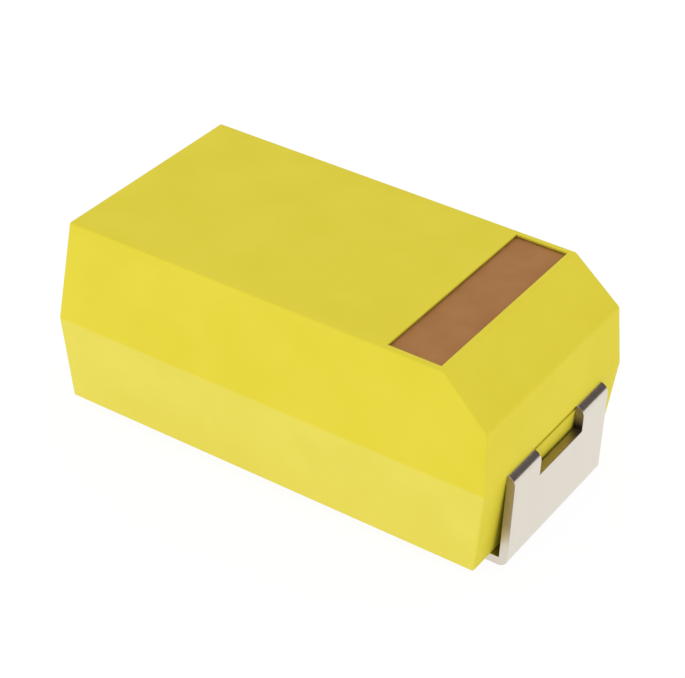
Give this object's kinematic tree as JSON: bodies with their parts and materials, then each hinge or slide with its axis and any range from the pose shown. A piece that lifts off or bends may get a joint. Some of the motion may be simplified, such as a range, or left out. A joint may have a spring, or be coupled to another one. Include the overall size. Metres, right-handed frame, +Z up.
{
  "type": "moulded tantalum chip capacitor",
  "caption": "Surface-mount tantalum capacitor: moulded resin case, bevelled and striped at the anode end, with folded terminals and a coated slug inside.",
  "frame": {"origin": "centre of the overall footprint, on the soldering plane under the two feet", "axes": "+X along the case towards the anode end, which has the stripe and the bevel; +Y across it; +Z up, away from the board"},
  "size_m": [0.006, 0.0032, 0.0026],
  "materials": {
    "resin": "matte",
    "marking": "matte",
    "tinned_strip": "satin",
    "tantalum_wire": "satin",
    "fluoropolymer": "matte",
    "sintered_tantalum": "matte",
    "manganese_dioxide": "matte",
    "graphite": "matte",
    "silver_paint": "matte",
    "silver_adhesive": "matte"
  },
  "bodies": {
    "root": {"case": "resin", "polarity_stripe": "marking", "anode_terminal": "tinned_strip", "cathode_terminal": "tinned_strip", "anode_wire": "tantalum_wire", "wire_washer": "fluoropolymer", "anode_slug": "sintered_tantalum", "oxide_coat": "manganese_dioxide", "graphite_coat": "graphite", "silver_coat": "silver_paint", "silver_adhesive": "silver_adhesive"}
  },
  "joints": []
}
